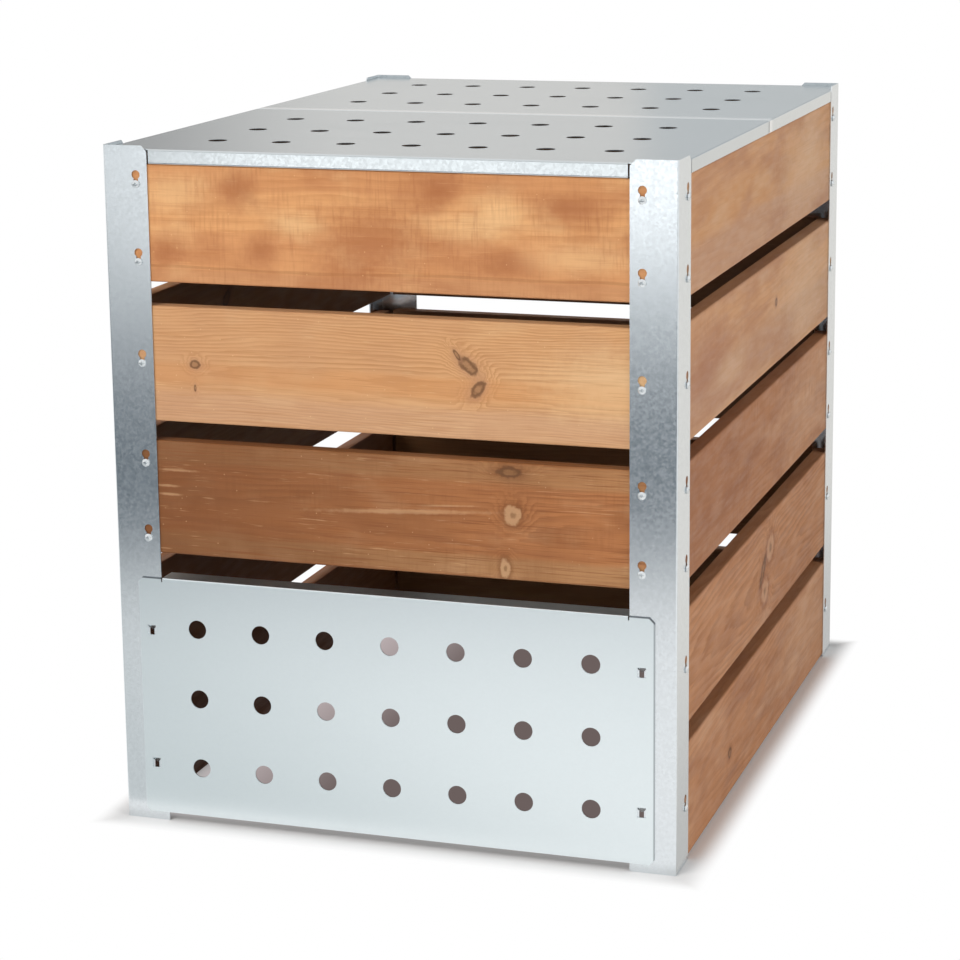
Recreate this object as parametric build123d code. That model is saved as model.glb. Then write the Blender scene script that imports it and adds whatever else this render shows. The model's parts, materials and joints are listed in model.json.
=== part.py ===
from build123d import *
import math
import os

# Compost bin. Four folded sheet steel corner posts carry boards that hang by screws in keyholes.
# Two loose perforated lids close the top, and a perforated hatch hooks on to the foot of the front.
# Millimetres. X runs along the front, Y from front to back, Z up from the floor under the middle.

# Overall size over the posts
bin_width = 670.0
bin_depth = 900.0

# Boards, and the gaps between their rows from the lowest upwards
board_height = 134.0
board_thickness = 20.0
board_edge_radius = 2.0
board_floor_gap = 2.0
row_gaps = (24.0, 32.5, 23.0, 27.5)
corner_gap = 3.3
front_rows = 3

# Pan head screws that the boards hang on. The counts at each end of a board, and the height of
# their line above the middle of the board, are given from the top row down
screw_head_diameter = 9.0
screw_head_height = 3.0
screw_head_rim = 1.2
screw_shank_diameter = 4.8
screw_tip_cover = 4.0
screw_point = 3.0
screw_end_distance = 15.0
screw_pair_edge = 22.5
screw_counts = (2, 1, 2, 1, 1)
screw_line_offsets = (0.0, 0.0, -4.5, 1.5, -3.0)
pilot_clearance = 0.05
hang_clearance = 0.2

# Corner posts, folded from sheet
post_sheet = 1.5
post_inside_bend = 1.0
post_rise = 4.0
post_corner_cut = 7.0
keyhole_edge_distance = 14.0
keyhole_entry_clearance = 1.0
keyhole_slot_clearance = 0.7
keyhole_seat = 1.0

# Lids, folded trays whose inward lips rest on the top boards
plate_sheet = 1.2
plate_inside_bend = 0.8
lid_height = 17.0
lid_lip = 14.0
lid_split = 3.0
lid_post_gap = 2.0
lid_corner_clearance = 0.8

# Round vents in the lids and the hatch
vent_diameter = 22.0
vent_columns = 7
vent_rows = 3
lid_vent_side_margin = 98.0
lid_vent_outer_margin = 100.0
lid_vent_split_margin = 108.5
hatch_vent_side_margin = 73.0
hatch_vent_end_margin = 59.0

# Hatch, a flat plate in front of the posts with a folded top and four pressed tongues
hatch_post_overlap = 29.0
hatch_floor_gap = 10.0
hatch_corner_cut = 6.0
hatch_return = 25.0
hatch_return_clearance = 4.5
hatch_relief = 1.5
hatch_relief_depth = 5.0
tongue_length = 11.0
tongue_side_clearance = 0.6
tongue_tip_clearance = 0.9
tongue_window_margin = 0.4
tongue_seat_clearance = 0.4

# Sizes that follow from the ones above
row_count = len(row_gaps) + 1
board_face = post_sheet + hang_clearance
screw_depth_in_board = board_thickness - screw_tip_cover
board_end_inset = board_face + board_thickness + corner_gap
keyhole_inset = board_end_inset + screw_end_distance
flange_width = keyhole_inset + keyhole_edge_distance
keyhole_entry_radius = (screw_head_diameter + keyhole_entry_clearance) / 2
keyhole_slot_width = screw_shank_diameter + keyhole_slot_clearance
keyhole_drop = keyhole_entry_radius + screw_head_diameter / 2 + keyhole_seat
half_width = bin_width / 2
half_depth = bin_depth / 2


def board_bottom(row):
    """Height of a row's lower edge. Row 1 is the highest."""
    rows_below = row_count - row
    return board_floor_gap + rows_below * board_height + sum(row_gaps[:rows_below])


def screw_heights(row):
    """Heights of the screws at each end of a board, from the highest down: one or a pair."""
    line = board_bottom(row) + board_height / 2 + screw_line_offsets[row - 1]
    if screw_counts[row - 1] == 1:
        return [line]
    reach = board_height / 2 - screw_pair_edge
    return [line + reach, line - reach]


lid_bottom = board_bottom(1) + board_height
lid_top = lid_bottom + lid_height
post_height = lid_top + post_rise
rows = range(1, row_count + 1)
keyhole_heights = [height + keyhole_drop for row in rows for height in screw_heights(row)]


def corner_post():
    """One post with its outer corner on the Z axis and its flanges along +X and +Y."""
    outline = Polyline(
        (0, 0),
        (flange_width, 0),
        (flange_width, post_sheet),
        (post_sheet, post_sheet),
        (post_sheet, flange_width),
        (0, flange_width),
        close=True,
    )
    section = make_face(outline)
    section = fillet(section.vertices().sort_by_distance((0, 0, 0))[0], post_inside_bend + post_sheet)
    inside_corner = section.vertices().sort_by_distance((post_sheet, post_sheet, 0))[0]
    section = fillet(inside_corner, post_inside_bend)
    post = extrude(section, post_height)
    top_edges = post.edges().group_by(Axis.Z)[-1]
    flange_ends = [top_edges.sort_by(Axis.X)[-1], top_edges.sort_by(Axis.Y)[-1]]
    post = chamfer(flange_ends, post_corner_cut)
    cutter = keyhole_cutter()
    cutters = []
    for height in keyhole_heights:
        cutters.append(Pos(keyhole_inset, 0, height) * cutter)
        cutters.append(Pos(0, keyhole_inset, height) * Rot(0, 0, 90) * cutter)
    return post - cutters


def keyhole_cutter():
    """A round entry with a narrow slot below it, through a sheet in the XZ plane."""
    slot = Pos(0, -keyhole_drop / 2) * SlotCenterToCenter(keyhole_drop, keyhole_slot_width, rotation=90)
    opening = Circle(keyhole_entry_radius) + slot
    return extrude(Plane.XZ * opening, 2 * post_sheet, both=True)


def wall_frame(wall):
    """Frame of one wall: X along it, Y inwards from the posts' outer faces, Z up."""
    turn, across = wall_turns[wall]
    return Rot(0, 0, turn) * Pos(0, -across / 2, 0)


def screw_places(length, row):
    """Places of a board's screws in its wall's frame, on the sheet's outer face."""
    reach = length / 2 - screw_end_distance
    return [Pos(side * reach, 0, height) for height in screw_heights(row) for side in (-1, 1)]


def board(length, row):
    """One board in its wall's frame, with a blind pilot hole for each screw."""
    middle = Pos(0, board_face + board_thickness / 2, board_bottom(row) + board_height / 2)
    plank = middle * Box(length, board_thickness, board_height)
    plank = fillet(plank.edges().filter_by(Axis.X), board_edge_radius)
    pilot = Cylinder(screw_shank_diameter / 2 + pilot_clearance, screw_depth_in_board)
    pilot = Pos(0, board_face + screw_depth_in_board / 2, 0) * Rot(90, 0, 0) * pilot
    return plank - [place * pilot for place in screw_places(length, row)]


def screw():
    """One pan head screw along Y, its head outside a sheet whose outer face is at Y = 0."""
    seat = -hang_clearance
    crown = seat - screw_head_height
    rim = seat - screw_head_rim
    head_radius = screw_head_diameter / 2
    shank_radius = screw_shank_diameter / 2
    end = board_face + screw_depth_in_board
    dome_rise = rim - crown
    dome_radius = (head_radius**2 + dome_rise**2) / (2 * dome_rise)
    half_angle = math.asin(head_radius / dome_radius) / 2
    dome_middle = (
        dome_radius * math.sin(half_angle),
        crown + dome_radius * (1 - math.cos(half_angle)),
    )
    dome = ThreePointArc((0, crown), dome_middle, (head_radius, rim))
    shaft = Polyline(
        (head_radius, rim),
        (head_radius, seat),
        (shank_radius, seat),
        (shank_radius, end - screw_point),
        (0, end),
        (0, crown),
    )
    return revolve(make_face(dome + shaft), Axis.Y)


def board_screws(length, row):
    """All the screws of one board, as separate solids in its wall's frame."""
    return Compound([place * screw() for place in screw_places(length, row)])


def vent_places(low, high, count):
    """Evenly spaced vent centres from one margin to the other."""
    step = (high - low) / (count - 1)
    return [low + step * index for index in range(count)]


def front_lid():
    """The front tray: a top, four folded sides, and a lip turned in under each side."""
    length = half_depth - lid_split / 2
    middle = Pos(0, -half_depth + length / 2, (lid_bottom + lid_top) / 2)
    skin = 2 * plate_sheet
    outside = Box(bin_width, length, lid_height)
    outside = fillet(outside.edges().filter_by(Axis.Z, reverse=True), plate_inside_bend + plate_sheet)
    inside = Box(bin_width - skin, length - skin, lid_height - skin)
    inside = fillet(inside.edges().filter_by(Axis.Z, reverse=True), plate_inside_bend)
    window = Box(bin_width - 2 * lid_lip, length - 2 * lid_lip, lid_height)
    window = Pos(0, 0, -plate_sheet) * window
    tray = middle * (outside - inside - window)
    tray -= [corner_relief(-1), corner_relief(1)]
    side = half_width - lid_vent_side_margin
    columns = vent_places(-side, side, vent_columns)
    first_row = -half_depth + lid_vent_outer_margin
    last_row = -half_depth + length - lid_vent_split_margin
    vent = Cylinder(vent_diameter / 2, 4 * plate_sheet)
    vents = []
    for y in vent_places(first_row, last_row, vent_rows):
        vents += [Pos(x, y, lid_top) * vent for x in columns]
    return tray - vents


def corner_relief(side):
    """What a lid leaves free at a front post: the fold there, and the post's own sheet."""
    reach = flange_width + lid_post_gap
    free = post_sheet + lid_corner_clearance
    under_sheet = lid_height - plate_sheet
    corner = Pos(side * half_width, -half_depth, lid_bottom)
    whole = Box(2 * reach, 2 * reach, 2 * under_sheet)
    front_strip = Box(2 * reach, 2 * free, 4 * lid_height)
    side_strip = Box(2 * free, 2 * reach, 4 * lid_height)
    return corner * (whole + front_strip + side_strip)


def hatch():
    """The front plate with its vents, folded top edge and tongues."""
    reach = half_width - flange_width + hatch_post_overlap
    top = board_bottom(front_rows) - hatch_return - hatch_return_clearance
    height = top - hatch_floor_gap
    middle = (top + hatch_floor_gap) / 2
    plate = Rectangle(2 * reach, height)
    plate = chamfer(plate.vertices(), hatch_corner_cut)
    side = reach - hatch_vent_side_margin
    columns = vent_places(-side, side, vent_columns)
    rise = height / 2 - hatch_vent_end_margin
    for z in vent_places(-rise, rise, vent_rows):
        plate -= [Pos(x, z) * Circle(vent_diameter / 2) for x in columns]
    fold_reach = half_width - flange_width - hatch_relief
    fold_cut = Rectangle(2 * (fold_reach + hatch_relief), 2 * hatch_relief_depth)
    plate -= Pos(0, height / 2) * fold_cut
    front = Plane((0, -half_depth, middle), x_dir=(1, 0, 0), z_dir=(0, -1, 0))
    body = extrude(front * plate, plate_sheet)
    body += folded_top(fold_reach, top)
    free_rows = range(front_rows + 1, row_count + 1)
    free_keyholes = [max(screw_heights(row)) + keyhole_drop for row in free_rows]
    places = [(sign * (half_width - keyhole_inset), z) for sign in (-1, 1) for z in free_keyholes]
    for x, entry in places:
        body = body - tongue_window(x, entry) + tongue(x, entry)
    return body


def folded_top(fold_reach, top):
    """The middle of the hatch's top edge, bent back between the posts."""
    outer_face = -half_depth - plate_sheet
    inner_edge = -half_depth + hatch_return
    foot = top - hatch_relief_depth
    outline = Polyline(
        (outer_face, foot),
        (outer_face, top),
        (inner_edge, top),
        (inner_edge, top - plate_sheet),
        (-half_depth, top - plate_sheet),
        (-half_depth, foot),
        close=True,
    )
    section = make_face(outline)
    outer_corner = section.vertices().sort_by_distance((outer_face, top, 0))[0]
    section = fillet(outer_corner, plate_inside_bend + plate_sheet)
    inner_corner = section.vertices().sort_by_distance((-half_depth, top - plate_sheet, 0))[0]
    section = fillet(inner_corner, plate_inside_bend)
    return extrude(Plane.YZ * section, fold_reach, both=True)


def tongue_root_height(entry):
    """Height of a tongue's root, so that its taper seats in the throat of the keyhole."""
    root_width = 2 * keyhole_entry_radius - tongue_side_clearance
    tip_width = keyhole_slot_width - tongue_tip_clearance
    through = plate_sheet + post_sheet
    share = through * math.sqrt(2) / tongue_length
    width_at_sheet = root_width + (tip_width - root_width) * share
    throat = math.sqrt(keyhole_entry_radius**2 - (width_at_sheet / 2) ** 2)
    return entry - throat + through + tongue_seat_clearance


def tongue_window(x, entry):
    """The opening that a tongue is bent out of."""
    width = 2 * keyhole_entry_radius - tongue_side_clearance + 2 * tongue_window_margin
    height = tongue_length + tongue_window_margin
    middle = tongue_root_height(entry) - height / 2
    return Pos(x, -half_depth - plate_sheet / 2, middle) * Box(width, 2 * plate_sheet, height)


def tongue(x, entry):
    """A tapered tongue bent back and down at 45 degrees from the top of its window."""
    root_width = 2 * keyhole_entry_radius - tongue_side_clearance
    tip_width = keyhole_slot_width - tongue_tip_clearance
    down = Vector(0, 1, -1).normalized()
    normal = Vector(0, 1, 1).normalized()
    root = Vector(x, -half_depth - plate_sheet, tongue_root_height(entry)) + normal * (plate_sheet / 2)
    root_plane = Plane(root, x_dir=(1, 0, 0), z_dir=down)
    tip_plane = Plane(root + down * tongue_length, x_dir=(1, 0, 0), z_dir=down)
    ends = [root_plane * Rectangle(root_width, plate_sheet), tip_plane * Rectangle(tip_width, plate_sheet)]
    return loft(ends)


# Each wall's turn about Z and the bin's size across it
wall_turns = {
    "front": (0, bin_depth),
    "right": (90, bin_width),
    "rear": (180, bin_depth),
    "left": (270, bin_width),
}
wall_boards = {
    "front": (bin_width - 2 * board_end_inset, front_rows),
    "right": (bin_depth - 2 * board_end_inset, row_count),
    "rear": (bin_width - 2 * board_end_inset, row_count),
    "left": (bin_depth - 2 * board_end_inset, row_count),
}

pieces = {}

half_turn = Rot(0, 0, 180)
post_front_left = Pos(-half_width, -half_depth, 0) * corner_post()
post_front_right = mirror(post_front_left, Plane.YZ)
pieces["post_front_left"] = post_front_left
pieces["post_front_right"] = post_front_right
pieces["post_rear_right"] = half_turn * post_front_left
pieces["post_rear_left"] = half_turn * post_front_right

for wall, (board_length, wall_rows) in wall_boards.items():
    frame = wall_frame(wall)
    for row in range(1, wall_rows + 1):
        pieces[f"{wall}_board_{row}"] = frame * board(board_length, row)
        pieces[f"{wall}_board_{row}_screws"] = frame * board_screws(board_length, row)

lid_front = front_lid()
pieces["lid_front"] = lid_front
pieces["lid_rear"] = half_turn * lid_front
pieces["hatch"] = hatch()

os.makedirs("parts", exist_ok=True)
for node, piece in pieces.items():
    export_step(piece, f"parts/{node}.step")
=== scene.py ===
import json
import math
import random

import bmesh
import bpy
from mathutils import Matrix, Quaternion, Vector


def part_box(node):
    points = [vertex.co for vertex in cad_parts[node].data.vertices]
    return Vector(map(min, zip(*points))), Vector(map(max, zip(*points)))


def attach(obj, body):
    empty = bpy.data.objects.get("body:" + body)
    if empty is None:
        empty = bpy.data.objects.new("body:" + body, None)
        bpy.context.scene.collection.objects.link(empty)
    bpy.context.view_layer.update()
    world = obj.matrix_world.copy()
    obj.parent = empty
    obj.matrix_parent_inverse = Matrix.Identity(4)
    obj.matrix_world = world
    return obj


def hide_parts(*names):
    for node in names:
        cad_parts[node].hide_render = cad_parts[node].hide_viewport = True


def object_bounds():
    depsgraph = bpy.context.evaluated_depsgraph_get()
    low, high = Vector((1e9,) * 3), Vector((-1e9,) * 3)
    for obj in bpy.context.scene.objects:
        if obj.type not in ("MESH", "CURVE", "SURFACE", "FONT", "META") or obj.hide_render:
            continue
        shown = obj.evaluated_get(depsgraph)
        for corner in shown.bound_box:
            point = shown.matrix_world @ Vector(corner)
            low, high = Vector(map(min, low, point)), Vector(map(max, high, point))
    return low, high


# Compost bin: galvanised corner posts, heat-treated pine boards on screws, perforated lids and hatch
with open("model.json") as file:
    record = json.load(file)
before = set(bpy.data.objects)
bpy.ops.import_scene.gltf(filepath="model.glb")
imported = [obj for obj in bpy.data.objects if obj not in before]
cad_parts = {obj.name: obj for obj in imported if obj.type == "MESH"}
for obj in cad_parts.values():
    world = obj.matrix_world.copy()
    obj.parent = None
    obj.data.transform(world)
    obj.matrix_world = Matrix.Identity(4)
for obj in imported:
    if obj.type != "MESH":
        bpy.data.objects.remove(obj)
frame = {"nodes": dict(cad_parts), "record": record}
cad_low, cad_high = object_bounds()

# Units, and the turn of each wall about Z, with its outer face towards -Y before the turn
millimetre = 0.001
quarter_turn = math.pi / 2
wall_turns = {"front": 0.0, "right": quarter_turn, "rear": 2 * quarter_turn, "left": -quarter_turn}

# Camera: place in metres and turns in radians, found from the edges of the posts, boards and lids
camera_place = Vector((1.0161, -3.1943, 1.1415))
camera_yaw = -0.3185
camera_pitch = 0.2027
camera_roll = -0.0112
camera_focal_length = 100.77
camera_sensor = 36.0
camera_shift = -0.1

# Lamps: place, width and height in metres and power in watts, and the one that the metal mirrors
world_light = 0.12
aim_point = Vector((0.0, 0.0, 0.4))
softboxes = {
    "key_softbox": ((-1.9, -3.6, 2.9), 3.4, 3.4, 148.0),
    "front_softbox": ((0.0, -5.2, 1.06), 4.4, 2.1, 14.0),
    "low_softbox": ((-0.1, -5.2, 0.26), 4.65, 0.5, 9.1),
    "side_softbox": ((4.4, -1.8, 2.3), 2.6, 2.6, 108.0),
}
mirrored_softbox = "low_softbox"

# Floor, in metres: its fade, and the span over which its painted shade under the bin lightens towards the
# left wall
floor_reach = 30.0
floor_drop = 0.0002
floor_fade = 0.035
floor_inside_margin = 0.05
floor_inside_lit = -0.34
floor_inside_shaded = -0.10

# Card on the floor in front and the upright card at its far end, which only the metal mirrors, in metres
card_left = -4.5
card_right = 2.5
card_near = -0.5
card_far = -7.0
card_top = 3.0
card_slant = 0.26
card_dark_start = -1.33
card_dark_full = -2.05
card_pale_start = -2.7
card_pale_full = -6.0
card_turn = -1.0
card_grey_side = 0.17
card_white_side = 0.95

# Card on the floor on the right, which only the metal mirrors, in metres
side_card_near = -0.45
side_card_far = 12.0
side_card_right = 5.0
side_card_shade = 0.25

# Backdrop behind the bin, which only the metal mirrors, in metres
backdrop_distance = 4.0
backdrop_bottom = 0.75
backdrop_top = 2.6
backdrop_left = -4.5
backdrop_right = 3.0
backdrop_grey_end = -2.6
backdrop_pale_start = -1.7
backdrop_pale_end = -0.95
backdrop_blue_start = -0.80

# Pan head screws, in metres and radians, with the turn of their crosses per metre from the middle
screw_head_radius = 0.0045
screw_head_height = 0.003
screw_head_rim = 0.0012
screw_head_edge = 0.0003
screw_shank_radius = 0.0024
screw_point = 0.003
screw_sides = 32
screw_sharp_edge = math.radians(35)
screw_seam = 0.00001
dome_steps = 6
recess_span = 0.0052
recess_width = 0.0011
recess_depth = 0.0016
recess_taper = 0.55
cross_turn = 40.0
single_screw_height = 3 * screw_head_radius

# Zinc plating of the screws: cloud as size in mm, shift and detail, roughness from and to, relief in mm
zinc_cloud = ((3, 3, 3), 0, 3.0)
zinc_cloud_start = 0.3
zinc_cloud_full = 0.7
zinc_cloud_seed = 2
zinc_smooth = 0.20
zinc_rough = 0.34
zinc_relief = 0.01

# Sheet metal: tint, turn of its rolling lines, roughness, strengths from 0 to 1 with that of a painted
# highlight, whether it has a painted shadow line, relief in mm and seed
along_height = (0.0, quarter_turn, 0.0)
along_width = (0.0, 0.0, 0.0)
sheet_looks = {
    "post": {
        "tint": "#e2e7ea",
        "roll_turn": along_height,
        "roughness": 0.20,
        "spangle": 0.25,
        "smudges": 0.10,
        "scratches": 0.5,
        "seam_highlight": 0.0,
        "shadow_lined": False,
        "relief": 0.0015,
        "seed": 3,
    },
    "lid_front": {
        "tint": "#d2d7d9",
        "roll_turn": along_width,
        "roughness": 0.20,
        "spangle": 0.05,
        "smudges": 0.15,
        "scratches": 0.0,
        "seam_highlight": 0.0,
        "shadow_lined": False,
        "relief": 0.0008,
        "seed": 11,
    },
    "lid_rear": {
        "tint": "#d8dcdd",
        "roll_turn": along_width,
        "roughness": 0.20,
        "spangle": 0.05,
        "smudges": 0.15,
        "scratches": 0.0,
        "seam_highlight": 0.8,
        "shadow_lined": False,
        "relief": 0.0008,
        "seed": 12,
    },
    "hatch": {
        "tint": "#e5edef",
        "roll_turn": along_width,
        "roughness": 0.30,
        "spangle": 0.05,
        "smudges": 0.05,
        "scratches": 0.0,
        "seam_highlight": 0.0,
        "shadow_lined": True,
        "relief": 0.001,
        "seed": 19,
    },
}

# Patterns of the sheet metal: size along and across the rolling lines in mm, shift of the seed and detail
smudge_pattern = ((150, 70, 70), 0, 4.0)
roll_pattern = ((160, 1.4, 1.4), 3, 2.0)
scratch_pattern = ((14, 0.7, 0.7), 7, 1.0)
scratch_levels = (0.72, 0.78)
scratch_bright = "#f4f6f6"
smudge_start = 0.45
smudge_full = 0.75
smudge_dullness = 0.08
crystal_size = 3.0
crystal_shade = 0.82
crystal_gloss = 0.02
crystal_relief = 0.2

# Painted highlight on the rear lid's edge at the split: metres from the bin's middle, and the slant at which
# it gleams
highlight_outside = 0.026
highlight_inside = 0.010
gleam_blend = 0.5
gleam_start = 0.6
gleam_full = 0.88

# Thin painted shadow line on the hatch, beside the fold of its top edge and down its right side, in metres
shadow_line_grey = "#4b5159"
shadow_line_start = 0.0019
shadow_line_full = 0.0010
shadow_line_beside_fold = 0.281
shadow_line_corner_cut = 0.006
shadow_line_on_top = 0.85
shadow_line_on_side = 0.5

# Tones of the pine: early wood, late wood, stain and pale streak
pine_tones = {
    "amber": ("#dba06a", "#b37444", "#a05f39", "#ecc08a"),
    "golden": ("#d6a372", "#b27c4c", "#b58562", "#e9c596"),
    "umber": ("#b07346", "#824e2c", "#6f4325", "#d9ae82"),
    "tan": ("#d8a376", "#b47e52", "#a87256", "#e6c09c"),
    "russet": ("#c38a60", "#9a643c", "#8c5638", "#dcae8a"),
}
knot_brown = "#84603f"
bark_brown = "#54331f"
pale_knot_brown = "#76502f"
inner_shade_brown = "#4a2c1a"

# Patterns of the pine: size along, through and up the board in mm, shift of the seed and detail
wander_pattern = ((260, 90, 60), 0, 3.0)
lump_pattern = ((7, 7, 7), 3, 3.0)
ragged_pattern = ((60, 4, 4), 5, 3.0)
ring_patch_pattern = ((140, 40, 40), 9, 3.0)
torn_pattern = ((38, 4, 2.2), 17, 2.0)
sawn_patch_pattern = ((60, 60, 40), 21, 3.0)
saw_line_pattern = ((3.2, 60, 35), 23, 2.0)
fibre_pattern = ((70, 1.3, 1.3), 29, 3.0)
gloss_pattern = ((40, 8, 8), 31, 3.0)
stain_through = 50.0
stain_shift = 13
stain_detail = 4.0
glow_shift = 19
glow_detail = 3.0
speck_spacing = 14.0

# Levels of these patterns, at which each starts to show and shows in full
stain_levels = (0.42, 0.70)
glow_levels = (0.50, 0.72)
torn_levels = (0.64, 0.76)
fibre_levels = (0.50, 0.74)
speck_levels = (0.07, 0.03)
ring_patch_start = 0.35
ring_patch_full = 0.62
sawn_patch_start = 0.38
sawn_patch_full = 0.62
saw_line_start = 0.42
saw_line_full = 0.78
gloss_start = 0.3
gloss_full = 0.7

# Marks about a spot, streak or knot, 0 at its middle and 1 at its edge: start, full and strength
spot_mark = (1.7, 0.2, 0.65)
glow_mark = (1.7, 0.2, 0.5)
streak_mark = (1.25, 0.45, 0.35)
knot_halo = (1.8, 0.7, 0.5)
knot_heart = (0.90, 0.65, 0.5)
pale_knot_halo = (1.7, 1.0, 0.5)
pale_knot_wood = (1.10, 0.80, 0.5)
pale_knot_heart = (0.55, 0.25, 0.6)
bark_inside_start = 0.40
bark_inside_full = 0.66
bark_outside_start = 1.00
bark_outside_full = 0.76
bark_strength = 0.6
spot_growth = 0.2
spot_raggedness = 0.7

# Growth rings: shares of a ring, and how far knots and raggedness push them aside, in rings
ring_rise_start = 0.15
ring_rise_full = 0.88
ring_fall_start = 1.0
ring_fall_full = 0.90
ring_patch_least = 0.35
ring_raggedness = 0.9
knot_push = 4.0
knot_push_start = 2.6
knot_push_full = 0.2

# Further measures of the pine, in mm, and strengths from 0 to 1
pith_wander = 26.0
band_sway = 16.0
band_edge = 0.4
glow_share = 0.8
sawn_patch_least = 0.2
speck_strength = 0.4
inner_shade_start = 1.5
inner_shade_full = 0.5
inner_shade_strength = 0.65
edge_dark_width = 3.0
edge_dark_strength = 0.30
pine_smooth = 0.52
pine_rough = 0.72
pine_specular = 0.25
pine_relief = 0.14
ring_relief = 0.6
saw_relief = -0.7
pine_seed_step = 7

# Share of half a board's length on which knots are drawn at random
drawn_knot_reach = 0.8

# How each board looks. Rings: their width in mm, the pith's depth behind the board's middle and height
# above it in mm, and its slope along the board. Strengths from 0 to 1 of rings, stains, saw marks, torn
# pale fibres, dark fibres and a darker left end. Stains: their length and height in mm. Bands along the
# board: height above its middle and half width in mm, colour and strength. Spots, glows, knots and pale
# streaks: along and up from the middle in mm, radius in mm, stretch and lean in degrees.
plain_look = {
    "tone": "tan",
    "ring": 5.0,
    "pith_depth": 40.0,
    "pith_up": 0.0,
    "slope": 0.03,
    "rings": 0.35,
    "stains": 0.35,
    "stain_size": (70.0, 40.0),
    "saw": 0.10,
    "torn": 0.2,
    "fibres": 0.45,
    "dark_end": 0.0,
    "bands": (),
    "spots": (),
    "glows": (),
    "knots": (),
    "pale_knots": (),
    "pale_streaks": (),
}
board_looks = {
    "front_board_1": {
        "tone": "amber",
        "ring": 7.0,
        "pith_depth": 70.0,
        "pith_up": -45.0,
        "stains": 0.4,
        "saw": 0.34,
        "torn": 0.1,
        "fibres": 0.25,
        "bands": (
            (54, 13, "#b26f45", 0.35),
            (-28, 20, "#c07c52", 0.3),
            (-60, 10, "#b8815c", 0.5),
            (-48, 1.5, "#8a5a35", 0.3),
        ),
        "spots": (
            (-12, -12, 44, 1.6, 0),
            (66, 46, 20, 1.4, -30),
            (-144, -26, 18, 1.2, 0),
            (-262, -32, 18, 1.4, 0),
            (144, -34, 17, 2.4, 0),
            (214, 35, 13, 4.0, 0),
            (-171, 40, 24, 1.0, 0),
        ),
        "glows": (
            (-250, 36, 24, 1.8, 0),
            (-104, 6, 15, 2.2, 0),
            (100, 8, 17, 2.4, 0),
            (136, 26, 28, 0.9, 0),
            (228, -22, 18, 3.6, 0),
        ),
    },
    "front_board_2": {
        "tone": "golden",
        "ring": 3.0,
        "pith_depth": 24.0,
        "pith_up": -8.0,
        "slope": 0.015,
        "rings": 0.6,
        "stains": 0.2,
        "saw": 0.05,
        "dark_end": 0.3,
        "bands": ((-10, 12, "#cf8d52", 0.45), (-50, 18, "#c8a183", 0.45)),
        "glows": ((260, 0, 40, 2.2, 0),),
        "knots": (
            (-230, 1, 7, 1.3, 0),
            (-231, -26, 6, 0.4, 0),
            (97, 16, 10, 2.0, 42),
            (84, 28, 3, 3.5, 55),
            (108, -10, 9, 1.7, -50),
        ),
    },
    "front_board_3": {
        "tone": "umber",
        "ring": 3.6,
        "pith_depth": 44.0,
        "pith_up": -12.0,
        "slope": 0.015,
        "rings": 0.5,
        "stains": 0.25,
        "saw": 0.16,
        "torn": 0.28,
        "fibres": 0.75,
        "dark_end": 0.75,
        "bands": ((54, 13, "#ad8459", 0.5), (-54, 13, "#b08a5f", 0.55)),
        "knots": ((143, 56, 9, 2.2, 0),),
        "pale_knots": ((147, 8, 13, 1.0, 0), (138, -54, 13, 0.55, 0)),
        "pale_streaks": (
            (20, 3, 3.5, 36, -3),
            (70, 13, 1.5, 30, -3),
            (-255, 33, 2, 15, 0),
            (-270, 14, 2, 9, 0),
            (-268, 4, 2, 9, 0),
        ),
    },
    "right_board_1": {
        "ring": 6.0,
        "pith_depth": 60.0,
        "pith_up": 15.0,
        "rings": 0.25,
        "stains": 0.5,
        "stain_size": (170.0, 46.0),
        "torn": 0.12,
        "fibres": 0.25,
        "dark_end": 0.15,
        "bands": ((-42, 26, "#bf977e", 0.5), (8, 22, "#d49a60", 0.4)),
        "glows": ((240, 0, 60, 3.0, 0),),
    },
    "right_board_2": {
        "pith_up": -10.0,
        "slope": 0.04,
        "rings": 0.25,
        "stains": 0.45,
        "stain_size": (170.0, 46.0),
        "torn": 0.12,
        "fibres": 0.25,
        "dark_end": 0.1,
        "bands": ((-30, 30, "#b58c74", 0.45),),
        "glows": ((250, 0, 60, 3.0, 0), (-200, -25, 22, 4.0, 0)),
        "spots": ((-330, 0, 60, 2.0, 0),),
        "knots": ((60, 12, 7, 1.2, 0),),
    },
    "right_board_3": {
        "tone": "russet",
        "pith_depth": 46.0,
        "pith_up": 20.0,
        "rings": 0.3,
        "stains": 0.5,
        "stain_size": (150.0, 40.0),
        "saw": 0.35,
        "torn": 0.15,
        "fibres": 0.25,
        "dark_end": 0.55,
        "glows": ((260, 0, 60, 3.0, 0),),
    },
    "right_board_4": {
        "tone": "russet",
        "ring": 6.5,
        "pith_depth": 26.0,
        "pith_up": -6.0,
        "slope": 0.06,
        "rings": 0.55,
        "stains": 0.3,
        "stain_size": (170.0, 36.0),
        "fibres": 0.3,
        "knots": ((0, 4, 12, 3.0, -45),),
        "pale_knots": ((42, 24, 20, 1.2, 0), (12, -25, 19, 1.2, 0)),
    },
    "right_board_5": {
        "tone": "russet",
        "ring": 6.0,
        "pith_depth": 30.0,
        "pith_up": 4.0,
        "slope": 0.05,
        "stains": 0.5,
        "stain_size": (170.0, 40.0),
        "fibres": 0.3,
        "glows": ((270, 0, 60, 3.0, 0),),
        "knots": ((-180, -16, 9, 1.4, 0),),
    },
}


def linear(hex_colour):
    """An sRGB hex colour as linear red, green, blue and alpha."""
    channels = [int(hex_colour[start:start + 2], 16) / 255 for start in (1, 3, 5)]
    return [c / 12.92 if c <= 0.04045 else ((c + 0.055) / 1.055) ** 2.4 for c in channels] + [1.0]


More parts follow.
